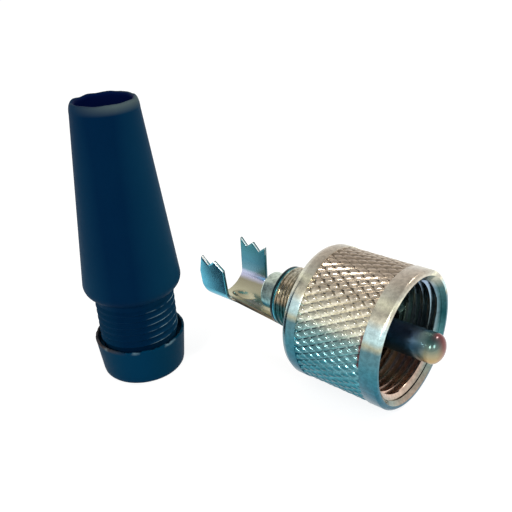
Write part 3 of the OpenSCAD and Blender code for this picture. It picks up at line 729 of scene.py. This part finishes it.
def buildClamp(sheetMaterial, cutMaterial):
    s = clampSettings
    half = s["sheet"] / 2
    baseZ = axisZ - s["stripDrop"] - half
    width = s["earWidth"]
    pitch = width / 2
    fall, depth = s["tipFall"], s["notchDepth"]
    troughLength = s["troughRadius"] * math.asin(s["troughHalf"] / s["troughRadius"])
    bendLength = s["bendRadius"] * (math.radians(90) - troughLength / s["troughRadius"])
    reach = bendLength + s["earHeight"]
    # Tips and notches: share of the ear's width from its rear, and drop below the first tip
    farTop = [(0, 0), (0.25, depth + fall / 2), (0.5, fall), (0.75, depth + fall * 1.5), (1, fall * 2)]
    front = width - s["nearBack"]
    nearWidth = front + s["nearTeethBack"]
    nearTop = [(0, 0), ((pitch / 2) / nearWidth, depth + fall / 2), (pitch / nearWidth, fall),
               (1, depth + fall * 1.5)]
    # The near ear's rear and front edges, as heights above the trough's edge and places from the rear
    nearRear = [(-0.7, 0), (s["nearBack"], -s["nearBack"]), (s["rearTurnIn"], -s["nearBack"]),
                (reach, -s["nearTeethBack"])]

    def nearFront(height):
        corner = s["cornerRadius"]
        if height <= 0:
            return width
        if height >= corner:
            return front
        return front + corner - math.sqrt(corner ** 2 - (corner - height) ** 2)

    # Distances along the sheet from the trough's bottom, out to the top of an ear
    steps = ([troughLength * k / s["arcSteps"] for k in range(1, s["arcSteps"] + 1)]
             + [troughLength + bendLength * k / s["bendSteps"] for k in range(1, s["bendSteps"] + 1)]
             + [troughLength + bendLength + s["earHeight"] * k / s["riseSteps"]
                for k in range(1, s["riseSteps"] + 1)])
    line = [-d for d in steps[::-1]] + [0] + steps
    columns = s["columns"]
    bm = bmesh.new()
    bmesh.ops.create_grid(bm, x_segments=columns, y_segments=len(line) - 1, size=0.5)
    stripEdge = []
    for vert in bm.verts:
        column = round((vert.co.x + 0.5) * columns)
        row = round((vert.co.y + 0.5) * (len(line) - 1))
        share, distance = column / columns, line[row]
        height = abs(distance) - troughLength
        near = distance < 0
        rear = curveThrough(nearRear, height) if near and height > -0.7 else 0
        ahead = nearFront(height) if near else width
        trim = curveThrough(nearTop if near else farTop, share)
        upper = max(0, height / reach)
        distanceAlong = abs(distance) - trim * upper ** 2
        out, up = sheetPoint(s, distanceAlong, s["nearLean"] if near else s["farLean"])
        x = mouthX - s["earFront"] - width + rear + (ahead - rear) * share
        vert.co = (x, axisY + (-out if near else out), baseZ + up)
        if column == columns and height < 0.001:
            stripEdge.append(vert)
    # The strip goes on from the trough alone, down to the eyelet
    stripSet = set(stripEdge)
    edges = [e for e in bm.edges if e.verts[0] in stripSet and e.verts[1] in stripSet]
    run = s["earFront"] - s["eyeletFront"] - half
    drop = s["stripFrontDrop"] - s["stripDrop"]
    for k in range(s["stripSteps"]):
        made = bmesh.ops.extrude_edge_only(bm, edges=edges)["geom"]
        verts = {v for v in made if isinstance(v, bmesh.types.BMVert)}
        edges = [e for e in made if isinstance(e, bmesh.types.BMEdge)
                 and e.verts[0] in verts and e.verts[1] in verts]
        bmesh.ops.translate(bm, vec=(run / s["stripSteps"], 0, -drop / s["stripSteps"]), verts=list(verts))
    # Pressed dimple
    middle = mouthX - s["earFront"] - s["dimpleLength"] / 2 + 0.2
    for vert in bm.verts:
        away = math.hypot((vert.co.x - middle) / (s["dimpleLength"] / 2),
                          (vert.co.y - axisY) / (s["dimpleWidth"] / 2))
        if away < 1 and vert.co.z < baseZ + 0.6:
            vert.co.z -= s["dimpleDepth"] * (1 - away ** 2) ** 0.7
    # Eyelet
    ringVerts = bmesh.ops.create_circle(bm, cap_ends=False, radius=s["eyeletRadius"] - 0.02,
                                        segments=96)["verts"]
    bmesh.ops.rotate(bm, verts=ringVerts, cent=(0, 0, 0), matrix=Matrix.Rotation(math.radians(90), 3, "Y"))
    bmesh.ops.translate(bm, verts=ringVerts, vec=(mouthX - s["eyeletFront"] - half, axisY, axisZ))
    ringEdges = list({e for v in ringVerts for e in v.link_edges})
    made = bmesh.ops.extrude_edge_only(bm, edges=ringEdges)["geom"]
    for vert in [v for v in made if isinstance(v, bmesh.types.BMVert)]:
        out = Vector((0, vert.co.y - axisY, vert.co.z - axisZ)).normalized()
        vert.co = Vector((vert.co.x, axisY, axisZ)) + out * s["holeRadius"]
    piece = finished(bm, "cableClamp", "cable_clamp", "plug", [sheetMaterial, cutMaterial], 40)
    wall = piece.modifiers.new("sheet", "SOLIDIFY")
    wall.thickness = s["sheet"] * millimetre
    wall.offset = 0
    wall.use_even_offset = True
    wall.material_offset_rim = 1
    return piece


def clampMaterial():
    # Painted reflections: olive strip and teal ears, with a pale lilac painted highlight along the bend on the
    # far side and a warm painted glint by the eyelet
    material, tree = newMaterial("clampPlate")
    place = objectPlace(tree)
    fine = noiseAt(tree, place, 700.0, detail=5.0)
    broad = noiseAt(tree, place, 260.0)
    height = maths(tree, "MULTIPLY_ADD", broad, 0.08, along(tree, place, "Z", 5.4, 13.8))
    far = ramp(tree, height, [
        (0.04, (0.55, 0.50, 0.33)), (0.16, (0.60, 0.57, 0.39)), (0.25, (0.42, 0.39, 0.27)),
        (0.31, (0.66, 0.66, 0.86)), (0.37, (0.60, 0.64, 0.84)), (0.44, (0.16, 0.34, 0.42)),
        (0.62, (0.08, 0.26, 0.34)), (0.9, (0.06, 0.23, 0.27)), (1.0, (0.07, 0.22, 0.24))])
    near = ramp(tree, height, [
        (0.04, (0.57, 0.51, 0.35)), (0.16, (0.44, 0.40, 0.28)), (0.21, (0.09, 0.36, 0.47)),
        (0.5, (0.12, 0.53, 0.72)), (1.0, (0.11, 0.48, 0.64))])
    cast = mixColour(tree, along(tree, place, "Y", axisY - 2.4, axisY - 1.6), near, far)
    # Painted warm glint on the strip by the eyelet
    warmPaintedGlint = maths(tree, "MULTIPLY", along(tree, place, "X", mouthX - 22.2, mouthX - 20.6),
                 along(tree, place, "Z", 7.5, 6.5))
    cast = mixColour(tree, maths(tree, "MULTIPLY", warmPaintedGlint, 0.7), cast, (0.60, 0.36, 0.18, 1))
    surface(tree, {"Base Color": cast, "Metallic": 1.0,
                   "Roughness": maths(tree, "MULTIPLY_ADD", fine, 0.2, 0.14),
                   "Normal": bump(tree, fine, 0.25, 0.01 * millimetre)})
    return material


def cutEdgeMaterial():
    # Cut metal on the teeth, lighter there partly for real and partly as a painted highlight; painted
    # reflections and shade on the other edges
    material, tree = newMaterial("clampEdge")
    place = objectPlace(tree)
    fine = noiseAt(tree, place, 900.0)
    bright = ramp(tree, fine, [(0.3, (0.55, 0.58, 0.56)), (0.7, (0.80, 0.82, 0.80))])
    plain = ramp(tree, along(tree, place, "Z", 5.4, 10),
                 [(0.0, (0.25, 0.20, 0.14)), (0.4, (0.30, 0.24, 0.16)), (0.6, (0.04, 0.14, 0.17)),
                  (1.0, (0.03, 0.14, 0.16))])
    # Only the outer half of the near ear's rim and the inner half of the far ear's are bright: a painted
    # highlight on the flanks that face the light
    farHalf = product(tree, along(tree, place, "Y", axisY + 3.71, axisY + 3.67),
                      along(tree, place, "Y", axisY, axisY + 1))
    half = maths(tree, "MAXIMUM", farHalf, along(tree, place, "Y", axisY - 4.10, axisY - 4.14))
    onTeeth = product(tree, half, along(tree, place, "Z", 12.0, 12.2),
                      along(tree, place, "X", mouthX - 26, mouthX - 26.2))
    # Painted shade on the eyelet's rim, where it meets the ferrule
    onEyelet = along(tree, place, "X", mouthX - 20.2, mouthX - 20)
    tone = mixColour(tree, onTeeth, plain, bright)
    tone = mixColour(tree, onEyelet, tone, (0.012, 0.03, 0.035, 1))
    surface(tree, {"Base Color": tone, "Metallic": 1.0, "Roughness": 0.3})
    return material


# Moulded finishes

mouldedSettings = {
    # Painted sheen: the boot and the ring turn from navy to teal towards their sides
    "broadside": (0.74, 0.67, 0),  # level direction in which the boot's cast turns from navy to teal
    "bootColour": (0.0003, 0.0125, 0.040),
    "bootPaintedSheen": (0.0025, 0.033, 0.070),
    "ringColour": (0.0003, 0.027, 0.065),
    "ringPaintedSheen": (0.0008, 0.030, 0.060),
    # Painted shade inside the boot's mouth
    "mouthPaintedShade": (0.0006, 0.004, 0.034),
    # Painted highlight along the boot's lip
    "lipPaintedHighlight": (0.060, 0.086, 0.092),
    # Wear on crests and rims, also used for painted glints and highlights
    "wornAndGlintColour": (0.25, 0.38, 0.42),
    # Painted reflection on one side of the ring's rim
    "ringRimPaintedReflection": (0.045, 0.040, 0.042),
}


def acrossBoot(tree, place, low, high):
    # 0 at one distance from the boot's axis towards its broadside and 1 at another, in millimetres
    away = addNode(tree, "ShaderNodeVectorMath", {0: place, 1: bootPoint * millimetre}, operation="SUBTRACT")
    part = addNode(tree, "ShaderNodeVectorMath", {0: away.outputs[0], 1: mouldedSettings["broadside"]},
                   operation="DOT_PRODUCT").outputs["Value"]
    made = addNode(tree, "ShaderNodeMapRange", {"Value": part, "From Min": low * millimetre,
                                                "From Max": high * millimetre})
    return made.outputs["Result"]


def product(tree, *factors):
    result = factors[0]
    for factor in factors[1:]:
        result = maths(tree, "MULTIPLY", result, factor)
    return result


def mouldedTone(tree, place, colour, sides):
    # Navy in the middle and more teal towards both sides: a painted sheen
    beside = maths(tree, "MAXIMUM", acrossBoot(tree, place, 1.5, 6.0), acrossBoot(tree, place, -1.5, -6.5))
    cloud = noiseAt(tree, place, 120.0)
    return mixColour(tree, maths(tree, "MULTIPLY_ADD", cloud, 0.3, maths(tree, "SUBTRACT", beside, 0.15)),
                     (*colour, 1), (*sides, 1))


def mouldedSurface(tree, place, tone, roughness):
    fine = noiseAt(tree, place, 1500.0, detail=3.0)
    surface(tree, {"Base Color": tone, "Roughness": maths(tree, "MULTIPLY_ADD", fine, 0.2, roughness - 0.1),
                   "IOR": 1.1, "Specular IOR Level": 0.3, "Specular Tint": (0.25, 0.55, 1.0, 1),
                   "Normal": bump(tree, fine, 0.3, 0.015 * millimetre)})


def bootMaterial():
    s = mouldedSettings
    material, tree = newMaterial("bootRubber")
    place = objectPlace(tree)
    top = bootHigh.z
    tone = mouldedTone(tree, place, s["bootColour"], s["bootPaintedSheen"])
    # Painted highlight along one side of the lip
    lip = product(tree, along(tree, place, "Z", top - 1.3, top - 0.3),
                  awayFrom(tree, place, bootPoint, (1, 1, 0), 3.6, 4.1), acrossBoot(tree, place, -3.5, 2))
    tone = mixColour(tree, lip, tone, (*s["lipPaintedHighlight"], 1))
    # Wear on the neck's crests, kept to one side, where it is also a painted glint
    patches = ramp(tree, noiseAt(tree, place, 400.0, detail=3.0), [(0.42, (0, 0, 0)), (0.6, (1, 1, 1))])
    wornAndGlint = product(tree, along(tree, place, "Z", 12.6, 12.3), acrossBoot(tree, place, 2.0, 5.0), patches,
                   awayFrom(tree, place, bootPoint, (1, 1, 0), 5.47, 5.5))
    tone = mixColour(tree, wornAndGlint, tone, (*s["wornAndGlintColour"], 1))
    streaks = noiseAt(tree, objectPlace(tree, (1, 1, 0.3)), 1100.0, detail=1.0)
    specks = maths(tree, "GREATER_THAN", streaks, 0.79)
    tone = mixColour(tree, maths(tree, "MULTIPLY", specks, 0.12), tone, (*s["wornAndGlintColour"], 1))
    # Painted shade inside the boot's mouth
    tone = mixColour(tree, awayFrom(tree, place, bootPoint, (1, 1, 0), 3.9, 3.6), tone,
                     (*s["mouthPaintedShade"], 1))
    mouldedSurface(tree, place, tone, 0.5)
    return material


def ringMaterial():
    s = mouldedSettings
    material, tree = newMaterial("ringPlastic")
    place = objectPlace(tree)
    top = ringHigh.z
    tone = mouldedTone(tree, place, s["ringColour"], s["ringPaintedSheen"])
    patches = ramp(tree, noiseAt(tree, place, 500.0, detail=3.0), [(0.5, (0, 0, 0)), (0.66, (1, 1, 1))])
    onRim = along(tree, place, "Z", top - 0.5, top - 0.1)
    # Painted reflection, grey-brown, on one side of the rim
    paintedRimReflection = product(tree, onRim, acrossBoot(tree, place, -1, -4))
    tone = mixColour(tree, paintedRimReflection, tone, (*s["ringRimPaintedReflection"], 1))
    # Wear along the rim's outer edge, also a painted highlight
    wornAndGlint = product(tree, onRim, patches, awayFrom(tree, place, bootPoint, (1, 1, 0), 6.0, 6.25))
    tone = mixColour(tree, maths(tree, "MULTIPLY", wornAndGlint, 0.45), tone, (*s["wornAndGlintColour"], 1))
    mouldedSurface(tree, place, tone, 0.45)
    return material


insulatorSettings = {"colour": (0.012, 0.014, 0.03), "roughness": 0.4}


def insulatorMaterial():
    s = insulatorSettings
    material, tree = newMaterial("insulatorPlastic")
    place = objectPlace(tree)
    fine = noiseAt(tree, place, 1200.0, detail=3.0)
    tone = mixColour(tree, noiseAt(tree, place, 200.0), (*s["colour"], 1), (0.03, 0.035, 0.05, 1))
    surface(tree, {"Base Color": tone, "Roughness": maths(tree, "MULTIPLY_ADD", fine, 0.2, s["roughness"] - 0.1),
                   "Specular IOR Level": 0.3, "Normal": bump(tree, fine, 0.3, 0.015 * millimetre)})
    return material


buildNut(plateMaterial("nutBand", bandPaintedLight, nutRadius, roughness=0.26), knurlMaterial(), boreMaterial(),
         plateMaterial("nutRear", rearPaintedLight, nutRadius, roughness=0.3))
buildBody(plateMaterial("collarPlate", collarPaintedLight, bodySettings["collarRadius"], roughness=0.24,
                        speckle=0.45, grainDepth=0.05),
          plateMaterial("ferrulePlate", ferrulePaintedLight, bodySettings["ferruleRadius"], roughness=0.34,
                        speckle=0.25, grainDepth=0.03),
          plateMaterial("sleevePlate", toothPaintedLight, bodySettings["sleeveRadius"], roughness=0.28))
buildPin(pinMaterial())
buildClamp(clampMaterial(), cutEdgeMaterial())
buildBoot(bootMaterial())
buildRing(ringMaterial())
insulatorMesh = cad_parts["insulator"].data
insulatorMesh.materials.clear()
insulatorMesh.materials.append(insulatorMaterial())


# Camera: the angle of the photograph

cameraSettings = {
    "place": (52.03, -58.26, 57.80),
    "yaw": -0.737,
    "pitch": 0.468,
    "roll": -0.066,
    "focalPixels": 676.288,
    "framePixels": 512,
    "sensor": 36.0,
}


def placeCamera():
    s = cameraSettings
    forward = Vector((math.sin(s["yaw"]) * math.cos(s["pitch"]), math.cos(s["yaw"]) * math.cos(s["pitch"]),
                      -math.sin(s["pitch"])))
    side = forward.cross(Vector((0, 0, 1))).normalized()
    top = side.cross(forward)
    right = side * math.cos(s["roll"]) + top * math.sin(s["roll"])
    up = -side * math.sin(s["roll"]) + top * math.cos(s["roll"])
    data = bpy.data.cameras.new("camera")
    data.sensor_width = s["sensor"]
    data.lens = s["focalPixels"] / s["framePixels"] * s["sensor"]
    data.clip_start = 0.001
    data.clip_end = 20
    camera = bpy.data.objects.new("camera", data)
    bpy.context.scene.collection.objects.link(camera)
    turn = Matrix((right, up, -forward)).transposed().to_4x4()
    camera.matrix_world = Matrix.Translation(Vector(s["place"]) * millimetre) @ turn
    bpy.context.scene.camera = camera


# Floor, surroundings and lamps

stageSettings = {"floorSize": 6.0, "floorGlow": 0.82, "floorColour": 0.3}

lampSettings = [
    # name, place in metres, size, watts, colour; every lamp aims at one target
    ("keyLamp", (0.04, -0.26, 0.20), 0.06, 0.3, (1.0, 0.99, 0.97)),
    ("sideLamp", (0.26, -0.10, 0.16), 0.08, 0.15, (0.95, 0.98, 1.0)),
    ("backLamp", (0.10, 0.20, 0.24), 0.06, 0.25, (1.0, 0.97, 0.92)),
]


def setStage():
    s = stageSettings
    bm = bmesh.new()
    bmesh.ops.create_grid(bm, x_segments=1, y_segments=1, size=s["floorSize"] / 2)
    mesh = bpy.data.meshes.new("floor")
    bm.to_mesh(mesh)
    bm.free()
    floor = bpy.data.objects.new("floor", mesh)
    bpy.context.scene.collection.objects.link(floor)
    material, tree = newMaterial("paleFloor")
    path = addNode(tree, "ShaderNodeLightPath").outputs
    seen = maths(tree, "MAXIMUM", maths(tree, "MAXIMUM", path["Is Camera Ray"], path["Is Glossy Ray"]),
                 path["Is Transmission Ray"])
    glow = addNode(tree, "ShaderNodeEmission", {"Color": (1, 1, 1, 1), "Strength": s["floorGlow"]})
    shade = addNode(tree, "ShaderNodeBsdfDiffuse", {"Color": (s["floorColour"],) * 3 + (1,)})
    white = addNode(tree, "ShaderNodeAddShader", {0: glow.outputs[0], 1: shade.outputs[0]})
    plain = addNode(tree, "ShaderNodeBsdfDiffuse", {"Color": (0.8, 0.8, 0.8, 1)})
    mixed = addNode(tree, "ShaderNodeMixShader", {0: seen, 1: plain.outputs[0], 2: white.outputs[0]})
    addNode(tree, "ShaderNodeOutputMaterial", {"Surface": mixed.outputs[0]})
    mesh.materials.append(material)
    # Pale round the horizon and darker overhead
    world = bpy.data.worlds.new("studio")
    bpy.context.scene.world = world
    world.use_nodes = True
    tree = world.node_tree
    tree.nodes.clear()
    direction = addNode(tree, "ShaderNodeTexCoord").outputs["Generated"]
    up = addNode(tree, "ShaderNodeSeparateXYZ", {0: direction}).outputs["Z"]
    sky = ramp(tree, up, [(0.0, (0.95, 0.96, 0.97)), (0.35, (0.90, 0.91, 0.92)), (0.65, (0.75, 0.75, 0.75)),
                          (1.0, (0.50, 0.49, 0.48))])
    seen = addNode(tree, "ShaderNodeLightPath").outputs["Is Camera Ray"]
    back = addNode(tree, "ShaderNodeBackground",
                   {"Color": mixColour(tree, seen, sky, (1, 1, 1, 1)), "Strength": 1.0})
    addNode(tree, "ShaderNodeOutputWorld", {"Surface": back.outputs[0]})


def setLamps():
    target = Vector((0, 0, 0.012))
    for name, place, size, watts, colour in lampSettings:
        data = bpy.data.lights.new(name, "AREA")
        data.shape = "DISK"
        data.size = size
        data.energy = watts
        data.color = colour
        lamp = bpy.data.objects.new(name, data)
        bpy.context.scene.collection.objects.link(lamp)
        lamp.location = place
        lamp.rotation_mode = "QUATERNION"
        lamp.rotation_quaternion = (target - lamp.location).to_track_quat("-Z", "Y")
        lamp.visible_camera = False


placeCamera()
setStage()
setLamps()
bpy.context.scene.view_settings.view_transform = "Standard"
print("camera, stage and lamps set")
